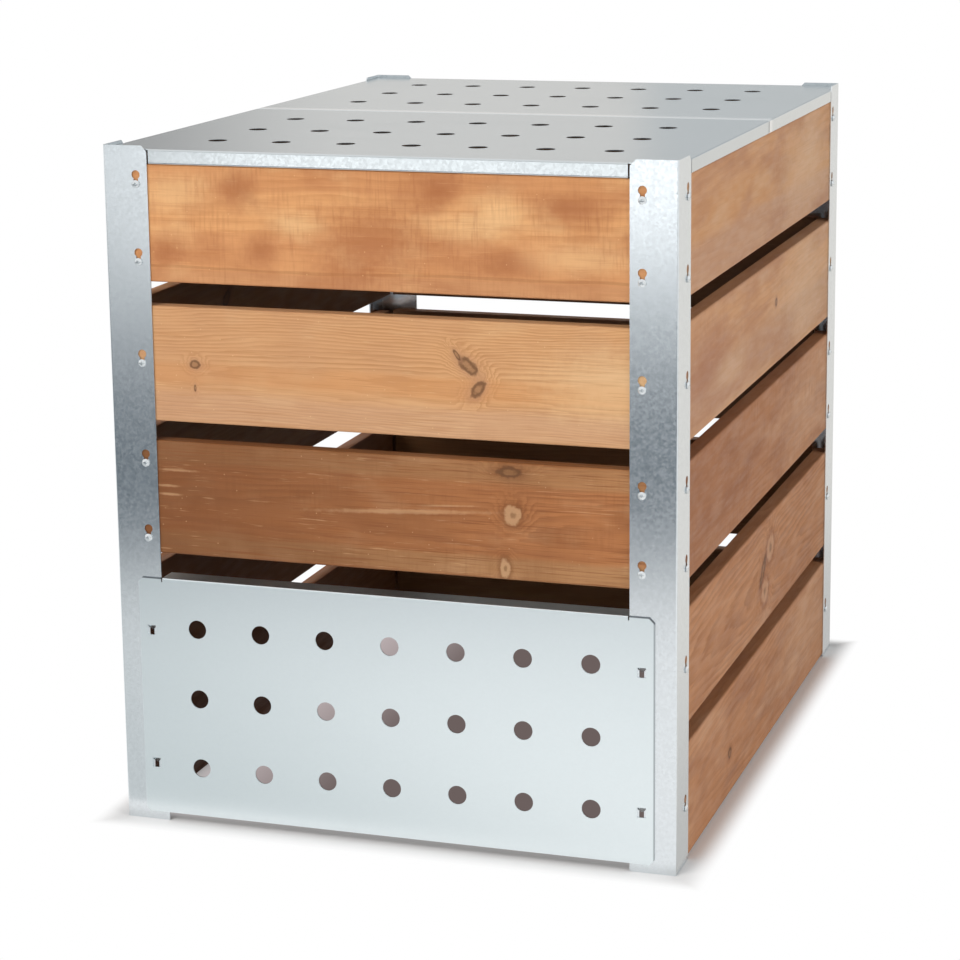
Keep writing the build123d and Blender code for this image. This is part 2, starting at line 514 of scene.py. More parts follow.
def node(tree, kind, inputs=None, **settings):
    """Adds a node. Inputs are set by name or number, from a value, a socket or another node."""
    made = tree.nodes.new(kind)
    for name, value in settings.items():
        setattr(made, name, value)
    for key, value in (inputs or {}).items():
        if isinstance(key, int):
            socket = made.inputs[key]
        else:
            socket = next(s for s in made.inputs if s.enabled and s.name == key)
        if isinstance(value, bpy.types.Node):
            value = next(s for s in value.outputs if s.enabled)
        if isinstance(value, bpy.types.NodeSocket):
            tree.links.new(value, socket)
        else:
            socket.default_value = value
    return made


def new_material(name):
    """A material with a Principled shader, and its tree and shader."""
    material = bpy.data.materials.new(name)
    material.use_nodes = True
    return material, material.node_tree, material.node_tree.nodes["Principled BSDF"]


def finish_surface(tree, shader, colour, roughness, relief, depth):
    """Links colour, roughness and a relief of that depth in metres to the shader."""
    bump = node(tree, "ShaderNodeBump", {"Strength": 1.0, "Distance": depth, "Height": relief})
    tree.links.new(next(s for s in colour.outputs if s.enabled), shader.inputs["Base Color"])
    tree.links.new(roughness.outputs[0], shader.inputs["Roughness"])
    tree.links.new(bump.outputs[0], shader.inputs["Normal"])


def place_in_metres(tree):
    """The place on a piece, as X, Y and Z in metres."""
    place = node(tree, "ShaderNodeTexCoord")
    return node(tree, "ShaderNodeSeparateXYZ", {"Vector": place.outputs["Object"]})


def place_in_millimetres(tree, middle, turn):
    """The place on a piece in mm from a middle, as it is before a turn."""
    place = node(tree, "ShaderNodeTexCoord")
    return node(
        tree,
        "ShaderNodeMapping",
        {
            "Vector": place.outputs["Object"],
            "Location": middle,
            "Rotation": turn,
            "Scale": (millimetre, millimetre, millimetre),
        },
        vector_type="TEXTURE",
    )


def mottle(tree, space, pattern, seed):
    """A soft uneven pattern with patches of its size in mm, moved on by its shift and the seed."""
    size, shift, detail = pattern
    start = seed + shift
    place = node(
        tree,
        "ShaderNodeMapping",
        {
            "Vector": space,
            "Location": (start, 2 * start, 3 * start),
            "Scale": [1 / length for length in size],
        },
    )
    return node(tree, "ShaderNodeTexNoise", {"Vector": place, "Scale": 1.0, "Detail": detail}).outputs["Fac"]


def laid_over(tree, colour, tint, value, start, full, strength):
    """The colour under a tint, which comes in smoothly as the value goes from start to full."""
    share = node(
        tree,
        "ShaderNodeMapRange",
        {"Value": value, "From Min": start, "From Max": full, "To Max": strength},
        interpolation_type="SMOOTHSTEP",
    )
    return node(tree, "ShaderNodeMix", {"Factor": share, "A": colour, "B": tint}, data_type="RGBA")


def spot_distance(tree, space, lumps, spot):
    """Distance from the middle of a spot, streak or knot that goes through the board, 1 at its edge."""
    along, up, radius, stretch, lean = spot
    through_all = 1000000.0
    spot_space = node(
        tree,
        "ShaderNodeMapping",
        {
            "Vector": space,
            "Location": (along, 0.0, up),
            "Rotation": (0.0, math.radians(lean), 0.0),
            "Scale": (radius * stretch, through_all, radius),
        },
        vector_type="TEXTURE",
    )
    distance = node(tree, "ShaderNodeVectorMath", {0: spot_space}, operation="LENGTH").outputs["Value"]
    distance = node(tree, "ShaderNodeMath", {0: distance, 1: spot_growth}, operation="SUBTRACT")
    return node(tree, "ShaderNodeMath", {0: lumps, 1: spot_raggedness, 2: distance}, operation="MULTIPLY_ADD")


def drawn_look(board, number):
    """A look drawn at random, for a board at the rear or on the left."""
    draw = random.Random(number)
    low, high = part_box(board)
    reach = drawn_knot_reach * max(high.x - low.x, high.y - low.y) / 2 / millimetre
    knots = []
    for _ in range(draw.choice((0, 1, 1, 2))):
        along = draw.uniform(-reach, reach)
        up = draw.uniform(-45, 45)
        radius = draw.uniform(5, 11)
        stretch = draw.uniform(1.0, 2.0)
        lean = draw.uniform(-50, 50)
        knots.append((along, up, radius, stretch, lean))
    return {
        "tone": draw.choice(list(pine_tones)),
        "ring": draw.uniform(3.2, 6.5),
        "pith_depth": draw.uniform(26, 60),
        "pith_up": draw.uniform(-40, 40),
        "slope": draw.uniform(-0.05, 0.05),
        "rings": draw.uniform(0.3, 0.6),
        "stains": draw.uniform(0.25, 0.5),
        "stain_size": (draw.uniform(90, 280), draw.uniform(18, 40)),
        "saw": draw.uniform(0.05, 0.2),
        "torn": draw.uniform(0.1, 0.4),
        "dark_end": draw.uniform(0.0, 0.4),
        "knots": knots,
    }


# Heat-treated pine, sawn and planed: warm brown wood with fine growth rings along the board, knots that
# the grain flows round, cloudy stains from the kiln, faint saw marks across it and a dull, fibrous surface.
def heat_treated_pine(board, wall, look, seed):
    """The pine of one board, its grain along the board."""
    early, late, stain, pale = [linear(colour) for colour in pine_tones[look["tone"]]]
    ring = look["ring"]
    low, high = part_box(board)
    half_height = (high.z - low.z) / 2 / millimetre
    half_length = max(high.x - low.x, high.y - low.y) / 2 / millimetre
    half_thickness = min(high.x - low.x, high.y - low.y) / 2 / millimetre
    material, tree, shader = new_material(f"heat_treated_pine_{board}")
    space = place_in_millimetres(tree, (low + high) / 2, (0.0, 0.0, wall_turns[wall]))
    axes = node(tree, "ShaderNodeSeparateXYZ", {"Vector": space})
    along = axes.outputs["X"]
    through = axes.outputs["Y"]
    across = axes.outputs["Z"]

    # Distances from the middles of spots, glows, knots and pale streaks
    lumps = mottle(tree, space, lump_pattern, seed)
    spots = [spot_distance(tree, space, lumps, spot) for spot in look["spots"]]
    glows = [spot_distance(tree, space, lumps, spot) for spot in look["glows"]]
    knots = [spot_distance(tree, space, lumps, spot) for spot in look["knots"]]
    pale_knots = [spot_distance(tree, space, lumps, spot) for spot in look["pale_knots"]]
    pale_streaks = [spot_distance(tree, space, lumps, spot) for spot in look["pale_streaks"]]

    # Distance from a pith that lies behind the board, wanders and slopes along it
    wander = mottle(tree, space, wander_pattern, seed)
    pith_start = -pith_wander / 2 - look["pith_up"]
    lift = node(tree, "ShaderNodeMath", {0: wander, 1: pith_wander, 2: pith_start}, operation="MULTIPLY_ADD")
    upwards = node(tree, "ShaderNodeMath", {0: across, 1: lift}, operation="ADD")
    pith_line = {0: along, 1: look["slope"], 2: -look["pith_depth"]}
    slope = node(tree, "ShaderNodeMath", pith_line, operation="MULTIPLY_ADD")
    inwards = node(tree, "ShaderNodeMath", {0: through, 1: slope}, operation="ADD")
    section = node(tree, "ShaderNodeCombineXYZ", {"X": upwards, "Y": inwards})
    radius = node(tree, "ShaderNodeVectorMath", {0: section}, operation="LENGTH").outputs["Value"]

    # Growth rings at that distance, pushed aside by knots, a little ragged and fainter in patches
    for distance in knots + pale_knots:
        near = node(
            tree,
            "ShaderNodeMapRange",
            {"Value": distance, "From Min": knot_push_start, "From Max": knot_push_full},
            interpolation_type="SMOOTHSTEP",
        )
        pushed = {0: near, 1: knot_push * ring, 2: radius}
        radius = node(tree, "ShaderNodeMath", pushed, operation="MULTIPLY_ADD")
    ragged = {0: mottle(tree, space, ragged_pattern, seed), 1: ring_raggedness * ring, 2: radius}
    radius = node(tree, "ShaderNodeMath", ragged, operation="MULTIPLY_ADD")
    ring_share = node(tree, "ShaderNodeMath", {0: radius, 1: 1 / ring}, operation="MULTIPLY")
    ring_share = node(tree, "ShaderNodeMath", {0: ring_share}, operation="FRACT")
    ring_rise = node(
        tree,
        "ShaderNodeMapRange",
        {"Value": ring_share, "From Min": ring_rise_start, "From Max": ring_rise_full},
        interpolation_type="SMOOTHSTEP",
    )
    ring_fall = node(
        tree,
        "ShaderNodeMapRange",
        {"Value": ring_share, "From Min": ring_fall_start, "From Max": ring_fall_full},
        interpolation_type="SMOOTHSTEP",
    )
    ring_line = node(tree, "ShaderNodeMath", {0: ring_rise, 1: ring_fall}, operation="MULTIPLY")
    ring_patch = node(
        tree,
        "ShaderNodeMapRange",
        {
            "Value": mottle(tree, space, ring_patch_pattern, seed),
            "From Min": ring_patch_start,
            "From Max": ring_patch_full,
            "To Min": ring_patch_least,
        },
        interpolation_type="SMOOTHSTEP",
    )
    ring_line = node(tree, "ShaderNodeMath", {0: ring_line, 1: ring_patch}, operation="MULTIPLY")
    ring_depth = node(tree, "ShaderNodeMath", {0: ring_line, 1: look["rings"]}, operation="MULTIPLY")
    colour = node(tree, "ShaderNodeMix", {"Factor": ring_depth, "A": early, "B": late}, data_type="RGBA")

    # Bands along the board with wavering edges, as sapwood and heartwood
    sway = node(tree, "ShaderNodeMath", {0: wander, 1: band_sway, 2: across}, operation="MULTIPLY_ADD")
    for up, half_width, band_colour, strength in look["bands"]:
        beyond = node(tree, "ShaderNodeMath", {0: sway, 1: up + band_sway / 2}, operation="SUBTRACT")
        beyond = node(tree, "ShaderNodeMath", {0: beyond}, operation="ABSOLUTE")
        outer = (1 + band_edge) * half_width
        inner = (1 - band_edge) * half_width
        colour = laid_over(tree, colour, linear(band_colour), beyond, outer, inner, strength)

    # Cloudy stains and paler glow
    stain_length, stain_height = look["stain_size"]
    stain_size = (stain_length, stain_through, stain_height)
    cloud = mottle(tree, space, (stain_size, stain_shift, stain_detail), seed)
    colour = laid_over(tree, colour, stain, cloud, *stain_levels, look["stains"])
    glow = mottle(tree, space, (stain_size, glow_shift, glow_detail), seed)
    colour = laid_over(tree, colour, pale, glow, *glow_levels, glow_share * look["stains"])
    for distance in spots:
        colour = laid_over(tree, colour, stain, distance, *spot_mark)
    for distance in glows:
        colour = laid_over(tree, colour, pale, distance, *glow_mark)

    # A darker left end, as where boards lay stacked in the kiln
    if look["dark_end"]:
        colour = laid_over(tree, colour, stain, along, half_length, -half_length, look["dark_end"])

    # Torn pale fibres, saw marks in patches, long fibres and specks of resin
    torn = mottle(tree, space, torn_pattern, seed)
    colour = laid_over(tree, colour, pale, torn, *torn_levels, look["torn"])
    sawn_patch = node(
        tree,
        "ShaderNodeMapRange",
        {
            "Value": mottle(tree, space, sawn_patch_pattern, seed),
            "From Min": sawn_patch_start,
            "From Max": sawn_patch_full,
            "To Min": sawn_patch_least,
        },
        interpolation_type="SMOOTHSTEP",
    )
    saw_line = node(
        tree,
        "ShaderNodeMapRange",
        {
            "Value": mottle(tree, space, saw_line_pattern, seed),
            "From Min": saw_line_start,
            "From Max": saw_line_full,
            "To Max": look["saw"],
        },
        interpolation_type="SMOOTHSTEP",
    )
    saw_line = node(tree, "ShaderNodeMath", {0: saw_line, 1: sawn_patch}, operation="MULTIPLY")
    colour = node(tree, "ShaderNodeMix", {"Factor": saw_line, "A": colour, "B": stain}, data_type="RGBA")
    fibre = mottle(tree, space, fibre_pattern, seed)
    colour = laid_over(tree, colour, late, fibre, *fibre_levels, look["fibres"])
    specks = node(tree, "ShaderNodeTexVoronoi", {"Vector": space, "Scale": 1 / speck_spacing})
    colour = laid_over(tree, colour, pale, specks.outputs["Distance"], *speck_levels, speck_strength)

    # Pale streaks of torn fibres, and knots: dark ones with a rim of bark, pale ones with a dark heart
    for distance in pale_streaks:
        colour = laid_over(tree, colour, pale, distance, *streak_mark)
    for distance in knots:
        colour = laid_over(tree, colour, stain, distance, *knot_halo)
        colour = laid_over(tree, colour, linear(knot_brown), distance, *knot_heart)
        bark = node(
            tree,
            "ShaderNodeMapRange",
            {"Value": distance, "From Min": bark_inside_start, "From Max": bark_inside_full},
            interpolation_type="SMOOTHSTEP",
        )
        bark_end = node(
            tree,
            "ShaderNodeMapRange",
            {
                "Value": distance,
                "From Min": bark_outside_start,
                "From Max": bark_outside_full,
                "To Max": bark_strength,
            },
            interpolation_type="SMOOTHSTEP",
        )
        bark = node(tree, "ShaderNodeMath", {0: bark, 1: bark_end}, operation="MULTIPLY")
        bark_rim = {"Factor": bark, "A": colour, "B": linear(bark_brown)}
        colour = node(tree, "ShaderNodeMix", bark_rim, data_type="RGBA")
    for distance in pale_knots:
        colour = laid_over(tree, colour, stain, distance, *pale_knot_halo)
        colour = laid_over(tree, colour, pale, distance, *pale_knot_wood)
        colour = laid_over(tree, colour, linear(pale_knot_brown), distance, *pale_knot_heart)

    # Painted shade on the inner face, which lies in the bin's shade, and edges darker at top and bottom
    inner_shade_from = half_thickness - inner_shade_start
    inner_shade_to = half_thickness - inner_shade_full
    inner_shade_colour = linear(inner_shade_brown)
    colour = laid_over(tree, colour, inner_shade_colour, through, inner_shade_from, inner_shade_to, inner_shade_strength)
    height = node(tree, "ShaderNodeMath", {0: across}, operation="ABSOLUTE")
    # Top and bottom edges darker
    colour = laid_over(tree, colour, stain, height, half_height - edge_dark_width, half_height, edge_dark_strength)

    # Dull gloss, and a relief of rings, fibres and saw marks
    rough = node(
        tree,
        "ShaderNodeMapRange",
        {
            "Value": mottle(tree, space, gloss_pattern, seed),
            "From Min": gloss_start,
            "From Max": gloss_full,
            "To Min": pine_smooth,
            "To Max": pine_rough,
        },
        interpolation_type="SMOOTHSTEP",
    )
    relief = node(tree, "ShaderNodeMath", {0: ring_line, 1: ring_relief, 2: fibre}, operation="MULTIPLY_ADD")
    relief = node(tree, "ShaderNodeMath", {0: saw_line, 1: saw_relief, 2: relief}, operation="MULTIPLY_ADD")
    shader.inputs["Specular IOR Level"].default_value = pine_specular
    finish_surface(tree, shader, colour, rough, relief, pine_relief * millimetre)
    return material


def shadow_line_share(tree, place):
    """Share of painted shadow on the hatch, near its top edge, its cut corner and its right side."""
    top_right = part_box("hatch")[1]
    sideways = node(tree, "ShaderNodeMath", {0: place.outputs["X"]}, operation="ABSOLUTE")
    on_fold = node(tree, "ShaderNodeMath", {0: sideways, 1: shadow_line_beside_fold}, operation="LESS_THAN")
    below = node(tree, "ShaderNodeMath", {0: top_right.z, 1: place.outputs["Z"]}, operation="SUBTRACT")
    below_edge = node(tree, "ShaderNodeMath", {0: below, 1: on_fold}, operation="ADD")
    inside = node(tree, "ShaderNodeMath", {0: top_right.x, 1: place.outputs["X"]}, operation="SUBTRACT")
    in_corner = node(tree, "ShaderNodeMath", {0: inside, 1: below}, operation="ADD")
    in_corner = node(tree, "ShaderNodeMath", {0: in_corner, 1: shadow_line_corner_cut}, operation="SUBTRACT")
    in_corner = node(tree, "ShaderNodeMath", {0: in_corner, 1: math.sqrt(2)}, operation="DIVIDE")
    below_edge = node(tree, "ShaderNodeMath", {0: below_edge, 1: in_corner}, operation="MINIMUM")
    on_top = node(
        tree,
        "ShaderNodeMapRange",
        {"Value": below_edge, "From Min": shadow_line_start, "From Max": shadow_line_full, "To Max": shadow_line_on_top},
        interpolation_type="SMOOTHSTEP",
    )
    on_side = node(
        tree,
        "ShaderNodeMapRange",
        {"Value": inside, "From Min": shadow_line_start, "From Max": shadow_line_full, "To Max": shadow_line_on_side},
        interpolation_type="SMOOTHSTEP",
    )
    return node(tree, "ShaderNodeMath", {0: on_top, 1: on_side}, operation="MAXIMUM")


def seam_highlight_share(tree, place, strength):
    """Share of a painted highlight on a lid's edge at the split, where it is seen at a slant."""
    seam_highlight = node(
        tree,
        "ShaderNodeMapRange",
        {
            "Value": place.outputs["Y"],
            "From Min": highlight_outside,
            "From Max": highlight_inside,
            "To Max": strength,
        },
        interpolation_type="SMOOTHSTEP",
    )
    slant = node(tree, "ShaderNodeLayerWeight", {"Blend": gleam_blend}).outputs["Facing"]
    gleam = node(
        tree,
        "ShaderNodeMapRange",
        {"Value": slant, "From Min": gleam_start, "From Max": gleam_full},
        interpolation_type="SMOOTHSTEP",
    )
    return node(tree, "ShaderNodeMath", {0: seam_highlight, 1: gleam}, operation="MULTIPLY")


# Galvanised sheet steel, cold rolled and hot dipped: pale blue-grey zinc with a fine spangle of crystals,
# faint lines from the rolls, small bright scratches and a satin gloss that smears what it mirrors.
def galvanised_sheet(name, look):
    """Zinc-coated sheet, its rolling lines along X before the turn."""
    material, tree, shader = new_material(f"galvanised_sheet_{name}")
    seed = look["seed"]
    tint = linear(look["tint"])
    shade = [crystal_shade * channel for channel in tint[:3]] + [1.0]
    place = place_in_metres(tree)
    space = place_in_millimetres(tree, (0.0, 0.0, 0.0), look["roll_turn"])

    # Spangle, smudges and scratches
    crystals = node(tree, "ShaderNodeTexVoronoi", {"Vector": space, "Scale": 1 / crystal_size})
    crystal = node(tree, "ShaderNodeSeparateColor", {"Color": crystals.outputs["Color"]})
    colour = laid_over(tree, tint, shade, crystal.outputs["Red"], 0.0, 1.0, look["spangle"])
    smudge = node(
        tree,
        "ShaderNodeMapRange",
        {
            "Value": mottle(tree, space, smudge_pattern, seed),
            "From Min": smudge_start,
            "From Max": smudge_full,
            "To Max": look["smudges"],
        },
        interpolation_type="SMOOTHSTEP",
    )
    colour = node(tree, "ShaderNodeMix", {"Factor": smudge, "A": colour, "B": shade}, data_type="RGBA")
    scratch = mottle(tree, space, scratch_pattern, seed)
    colour = laid_over(tree, colour, linear(scratch_bright), scratch, *scratch_levels, look["scratches"])

    # Painted highlight on a lid's edge at the split, and a painted shadow line on the hatch
    if look["seam_highlight"]:
        gleam = seam_highlight_share(tree, place, look["seam_highlight"])
        painted_highlight = {"Factor": gleam, "A": colour, "B": linear("#ffffff")}
        colour = node(tree, "ShaderNodeMix", painted_highlight, data_type="RGBA")
    # Painted shadow line along the hatch's top edge and right side
    if look["shadow_lined"]:
        painted_shadow_line = {"Factor": shadow_line_share(tree, place), "A": colour, "B": linear(shadow_line_grey)}
        colour = node(tree, "ShaderNodeMix", painted_shadow_line, data_type="RGBA")

    # Satin gloss, duller on smudges, and a relief of rolling lines and crystals
    rough = node(
        tree,
        "ShaderNodeMapRange",
        {
            "Value": crystal.outputs["Green"],
            "To Min": look["roughness"] - crystal_gloss,
            "To Max": look["roughness"] + crystal_gloss,
        },
        interpolation_type="SMOOTHSTEP",
    )
    rough = node(tree, "ShaderNodeMath", {0: smudge, 1: smudge_dullness, 2: rough}, operation="MULTIPLY_ADD")
    rolled = mottle(tree, space, roll_pattern, seed)
    relief = {0: crystal.outputs["Blue"], 1: crystal_relief, 2: rolled}
    relief = node(tree, "ShaderNodeMath", relief, operation="MULTIPLY_ADD")
    shader.inputs["Metallic"].default_value = 1.0
    finish_surface(tree, shader, colour, rough, relief, look["relief"] * millimetre)
    return material


# Zinc-plated screw steel: brighter and glossier than the sheet, with a faint cloudiness from the bath.
def zinc_plated_steel():
    """The plated steel of the screws."""
    material, tree, shader = new_material("zinc_plated_steel")
    space = place_in_millimetres(tree, (0.0, 0.0, 0.0), (0.0, 0.0, 0.0))
    cloud = mottle(tree, space, zinc_cloud, zinc_cloud_seed)
    plating = {"Factor": cloud, "A": linear("#eef1f2"), "B": linear("#cfd5d8")}
    colour = node(tree, "ShaderNodeMix", plating, data_type="RGBA")
    rough = node(
        tree,
        "ShaderNodeMapRange",
        {
            "Value": cloud,
            "From Min": zinc_cloud_start,
            "From Max": zinc_cloud_full,
            "To Min": zinc_smooth,
            "To Max": zinc_rough,
        },
        interpolation_type="SMOOTHSTEP",
    )
    shader.inputs["Metallic"].default_value = 1.0
    finish_surface(tree, shader, colour, rough, cloud, zinc_relief * millimetre)
    return material


def new_piece(name, mesh, material):
    """An object at the origin with that mesh and material."""
    piece = bpy.data.objects.new(name, mesh)
    mesh.materials.clear()
    mesh.materials.append(material)
    bpy.context.scene.collection.objects.link(piece)
    return piece


def screw_blank(length):
    """A pan head screw along Y without its recess, its crown at the origin and its point at +Y."""
    dome_rise = screw_head_height - screw_head_rim
    dome_radius = (screw_head_radius**2 + dome_rise**2) / (2 * dome_rise)
    dome_angle = math.asin(screw_head_radius / dome_radius)
    outline = []
    for step in range(dome_steps + 1):
        angle = dome_angle * step / dome_steps
        outline.append((dome_radius * math.sin(angle), dome_radius * (1 - math.cos(angle))))
    outline.append((screw_head_radius, screw_head_height - screw_head_edge))
    outline.append((screw_head_radius - screw_head_edge, screw_head_height))
    outline.append((screw_shank_radius, screw_head_height))
    outline.append((screw_shank_radius, length - screw_point))
    outline.append((0.0, length))
    shape = bmesh.new()
    points = [shape.verts.new((radius, depth, 0.0)) for radius, depth in outline]
    edges = [shape.edges.new(pair) for pair in zip(points, points[1:])]
    bmesh.ops.spin(
        shape,
        geom=points + edges,
        cent=(0, 0, 0),
        axis=(0, 1, 0),
        angle=2 * math.pi,
        steps=screw_sides,
        use_merge=True,
    )
    bmesh.ops.remove_doubles(shape, verts=shape.verts, dist=screw_seam)
    bmesh.ops.recalc_face_normals(shape, faces=shape.faces)
    mesh = bpy.data.meshes.new("screw_blank")
    shape.to_mesh(mesh)
    shape.free()
    return mesh


def cross_punch():
    """The tapered cross that is pressed into a screw head, its point towards +Y."""
    shape = bmesh.new()
    for turn in (0.0, quarter_turn):
        blade = bmesh.ops.create_cube(shape, size=1.0)["verts"]
        bmesh.ops.scale(shape, vec=(recess_span, 2 * recess_depth, recess_width), verts=blade)
        tip = [corner for corner in blade if corner.co.y > 0]
        bmesh.ops.scale(shape, vec=(recess_taper, 1, recess_taper), verts=tip)
        bmesh.ops.rotate(shape, cent=(0, 0, 0), matrix=Matrix.Rotation(turn, 3, "Y"), verts=blade)
    mesh = bpy.data.meshes.new("cross_punch")
    shape.to_mesh(mesh)
    shape.free()
    return mesh


def screw_mesh(length):
    """One pan head screw with its cross recess."""
    blank = bpy.data.objects.new("screw_blank", screw_blank(length))
    punch = bpy.data.objects.new("cross_punch", cross_punch())
    for tool in (blank, punch):
        bpy.context.scene.collection.objects.link(tool)
    press = blank.modifiers.new("recess", "BOOLEAN")
    press.object = punch
    press.operation = "DIFFERENCE"
    press.solver = "EXACT"
    press.use_self = True
    bpy.context.view_layer.update()
    pressed = blank.evaluated_get(bpy.context.evaluated_depsgraph_get())
    mesh = bpy.data.meshes.new_from_object(pressed)
    for tool in (blank, punch):
        bpy.data.objects.remove(tool)
    return mesh


def screws_of(board, wall, pattern, number):
    """The mesh of the screws at both ends of a board, placed from its CAD screws."""
    low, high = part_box(f"{board}_screws")
    turn = Matrix.Rotation(wall_turns[wall], 4, "Z")
    corners = [turn.inverted() @ corner for corner in (low, high)]
    left = min(corner.x for corner in corners) + screw_head_radius
    right = max(corner.x for corner in corners) - screw_head_radius
    crown = min(corner.y for corner in corners)
    levels = [low.z + screw_head_radius, high.z - screw_head_radius]
    if high.z - low.z < single_screw_height:
        levels = [(low.z + high.z) / 2]
    shape = bmesh.new()
    for level in levels:
        for side in (left, right):
            start = len(shape.verts)
            shape.from_mesh(pattern)
            shape.verts.ensure_lookup_table()
            driven = Matrix.Rotation(cross_turn * number * (side + level), 4, "Y")
            place = turn @ Matrix.Translation((side, crown, level)) @ driven
            bmesh.ops.transform(shape, matrix=place, verts=shape.verts[start:])
    mesh = bpy.data.meshes.new(f"{board}_screws_shape")
    shape.to_mesh(mesh)
    shape.free()
    for face in mesh.polygons:
        face.use_smooth = True
    mesh.set_sharp_from_angle(angle=screw_sharp_edge)
    return mesh


# Bodies of the nodes
body_of_node = {}
for body, members in frame["record"]["behaviour"]["bodies"].items():
    for member in members:
        body_of_node[member] = body

# Posts, lids and hatch get their sheet metal
sheet_finishes = {kind: galvanised_sheet(kind, look) for kind, look in sheet_looks.items()}
for name, shown in frame["nodes"].items():
    for kind, finish in sheet_finishes.items():
        if name.startswith(kind):
            shown.data.materials.clear()
            shown.data.materials.append(finish)

# Boards get their pine, and screws with a cross recess in place of their plain ones
screw_zinc = zinc_plated_steel()
first_low, first_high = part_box("front_board_1_screws")
screw_pattern = screw_mesh(first_high.y - first_low.y)
boards = sorted(name for name in frame["nodes"] if "_board_" in name and not name.endswith("_screws"))
for number, board in enumerate(boards, start=1):
    wall = board.split("_")[0]
    look = {**plain_look, **(board_looks.get(board) or drawn_look(board, number))}
    plank = frame["nodes"][board]
    plank.data.materials.clear()
    plank.data.materials.append(heat_treated_pine(board, wall, look, pine_seed_step * number))
    screws = new_piece(f"{board}_pan_heads", screws_of(board, wall, screw_pattern, number), screw_zinc)
    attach(screws, body_of_node[board])
    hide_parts(f"{board}_screws")


def stage_plane(name, low, high, only_mirrored):
    """A flat stage piece between two opposite corners, seen by all or only in the metal, and its tree."""
    shape = bmesh.new()
    corners = [low, (high[0], low[1], low[2]), high, (low[0], high[1], high[2])]
    shape.faces.new([shape.verts.new(corner) for corner in corners])
    mesh = bpy.data.meshes.new(name)
    shape.to_mesh(mesh)
    shape.free()
    plane = bpy.data.objects.new(name, mesh)
    bpy.context.scene.collection.objects.link(plane)
    if only_mirrored:
        plane.visible_camera = False
        plane.visible_diffuse = False
        plane.visible_transmission = False
        plane.visible_volume_scatter = False
        plane.visible_shadow = False
    material = bpy.data.materials.new(name)
    material.use_nodes = True
    material.node_tree.nodes.clear()
    mesh.materials.append(material)
    return material.node_tree


def shine(tree, colour):
    """Lets a stage piece shine in a colour, so that it is seen as written."""
    light = node(tree, "ShaderNodeEmission", {"Color": colour, "Strength": 1.0})
    node(tree, "ShaderNodeOutputMaterial", {"Surface": light})


def seen_share(tree):
    """1 for what the camera, the metal or glass sees, and 0 for light that falls on a surface."""
    light_path = node(tree, "ShaderNodeLightPath")
    seen = {0: light_path.outputs["Is Camera Ray"], 1: light_path.outputs["Is Glossy Ray"]}
    seen = node(tree, "ShaderNodeMath", seen, operation="MAXIMUM")
    seen = {0: seen, 1: light_path.outputs["Is Transmission Ray"]}
    return node(tree, "ShaderNodeMath", seen, operation="MAXIMUM")


# Floor: matt white near the bin so that its shadow shows, plain white further out, painted shade under the
# bin
floor_low = (-floor_reach, -floor_reach, -floor_drop)
floor_high = (floor_reach, floor_reach, -floor_drop)
tree = stage_plane("matt_white_floor", floor_low, floor_high, False)
axes = place_in_metres(tree)
beside = node(tree, "ShaderNodeMath", {0: axes.outputs["X"]}, operation="ABSOLUTE")
beside = node(tree, "ShaderNodeMath", {0: beside, 1: cad_high.x}, operation="SUBTRACT")
before = node(tree, "ShaderNodeMath", {0: axes.outputs["Y"]}, operation="ABSOLUTE")
before = node(tree, "ShaderNodeMath", {0: before, 1: cad_high.y}, operation="SUBTRACT")
outside = node(tree, "ShaderNodeMath", {0: beside, 1: before}, operation="MAXIMUM")
inside = node(
    tree,
    "ShaderNodeMapRange",
    {"Value": outside, "From Min": 0.0, "From Max": -floor_inside_margin},
    interpolation_type="SMOOTHSTEP",
)
fade = node(
    tree,
    "ShaderNodeMapRange",
    {"Value": outside, "From Min": 0.0, "From Max": floor_fade},
    interpolation_type="SMOOTHSTEP",
)
# Painted shade in taupe under the bin, paler towards the left wall as painted light
shaded_floor_colour = linear("#6c605e")
lit_floor_colour = linear("#beb2b3")
painted_floor_shade = laid_over(tree, shaded_floor_colour, lit_floor_colour, axes.outputs["X"], floor_inside_shaded, floor_inside_lit, 1.0)
glow = node(tree, "ShaderNodeMath", {0: inside, 1: fade}, operation="MAXIMUM")
glow = node(tree, "ShaderNodeMath", {0: glow, 1: seen_share(tree)}, operation="MULTIPLY")
# Dark matt under the bin, a painted shade that lets less light bounce inside it
matt_colour = {"Factor": inside, "A": linear("#f7f6f5"), "B": linear("#3a3533")}
matt_colour = node(tree, "ShaderNodeMix", matt_colour, data_type="RGBA")
matt = node(tree, "ShaderNodeBsdfDiffuse", {"Color": matt_colour})
glow_colour = {"Factor": inside, "A": linear("#ffffff"), "B": painted_floor_shade}
glow_colour = node(tree, "ShaderNodeMix", glow_colour, data_type="RGBA")
plain = node(tree, "ShaderNodeEmission", {"Color": glow_colour, "Strength": 1.0})
mixed = node(tree, "ShaderNodeMixShader", {0: glow, 1: matt, 2: plain})
node(tree, "ShaderNodeOutputMaterial", {"Surface": mixed})

